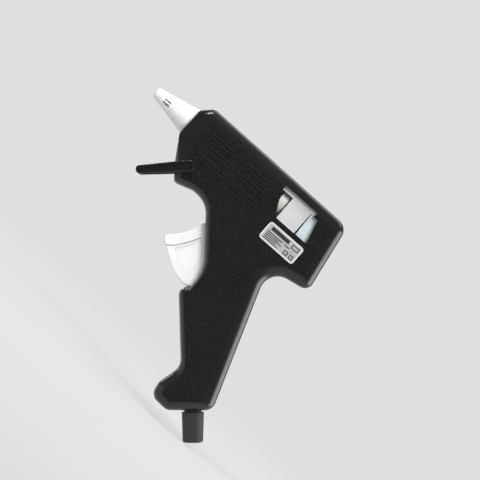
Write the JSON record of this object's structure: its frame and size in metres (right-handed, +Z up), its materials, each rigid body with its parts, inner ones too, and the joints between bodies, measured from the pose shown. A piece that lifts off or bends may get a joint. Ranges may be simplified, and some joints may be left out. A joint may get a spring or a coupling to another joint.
{
  "type": "mini hot-melt glue gun",
  "caption": "Small pistol-shaped hot-melt glue gun with a capped nozzle, side window on the stick feed, curved trigger, folding front stand and a cord boot at the grip.",
  "frame": {"origin": "centre of the stick inlet's rear face, on the barrel axis", "axes": "+X along the barrel towards the rear, out of the stick inlet; +Y through the thickness towards the right side; +Z up"},
  "size_m": [0.1344, 0.0306, 0.1369],
  "materials": {
    "black_shell": "fine-textured black moulded plastic",
    "white_silicone": "smooth white silicone",
    "brass": "turned brass",
    "cast_aluminium": "as-cast aluminium",
    "heater_ceramic": "grey sintered ceramic",
    "plate_metal": "thin rolled sheet",
    "film": "amber insulating film",
    "spring_steel": "bright spring steel",
    "cream_silicone": "cream silicone",
    "white_plastic": "glossy white moulded plastic",
    "grey_white_plastic": "satin off-white moulded plastic",
    "pale_plastic": "pale translucent moulded plastic",
    "steel": "zinc-plated steel",
    "black_rubber": "matt black rubber",
    "wire_insulation": "braided-glass covered wire",
    "crimp": "nylon crimp cap",
    "label": null
  },
  "bodies": {
    "housing": {"housing_left": "black_shell", "housing_right": "black_shell", "nozzle_guard": "white_silicone", "nozzle_tip": "brass", "melt_chamber": "cast_aluminium", "ptc_heater": "heater_ceramic", "heater_electrodes": "plate_metal", "heater_film": "film", "heater_clamp": "spring_steel", "inlet_sleeve": "cream_silicone", "sleeve_clip": "spring_steel", "trigger_pin": "steel", "return_spring": "spring_steel", "housing_screws": "steel", "cord_boot": "black_rubber", "lead_wires": "wire_insulation", "wire_splices": "crimp", "rating_label": "label"},
    "trigger": {"trigger": "white_plastic"},
    "carrier": {"feed_carrier": "grey_white_plastic", "pawl_pin": "steel"},
    "pawl": {"grip_pawl": "pale_plastic"},
    "stand": {"stand": "black_shell"}
  },
  "joints": [
    {"name": "trigger_pull", "type": "hinge", "parent": "housing", "child": "trigger", "pos_m": [-0.051, 0, -0.03], "axis": [0, -1, 0], "range_deg": [0, 18], "stiffness_Nm_per_rad": 0.4},
    {"name": "carrier_slide", "type": "slide", "parent": "housing", "child": "carrier", "axis": [-1, 0, 0], "range_m": [0, 0.0055], "deforming": ["return_spring"]},
    {"name": "pawl_tilt", "type": "hinge", "parent": "carrier", "child": "pawl", "pos_m": [-0.016, 0, 0.0063], "axis": [0, 1, 0], "range_deg": [0, 2.5]},
    {"name": "stand_swing", "type": "hinge", "parent": "housing", "child": "stand", "pos_m": [-0.0825, 0, -0.0176], "axis": [0, 1, 0], "range_deg": [-92, 35]}
  ],
  "couplings": [
    {"joint": "carrier_slide", "follows": "trigger_pull", "m_per_rad": 0.0175},
    {"joint": "pawl_tilt", "follows": "trigger_pull", "ratio": 0.1389}
  ]
}
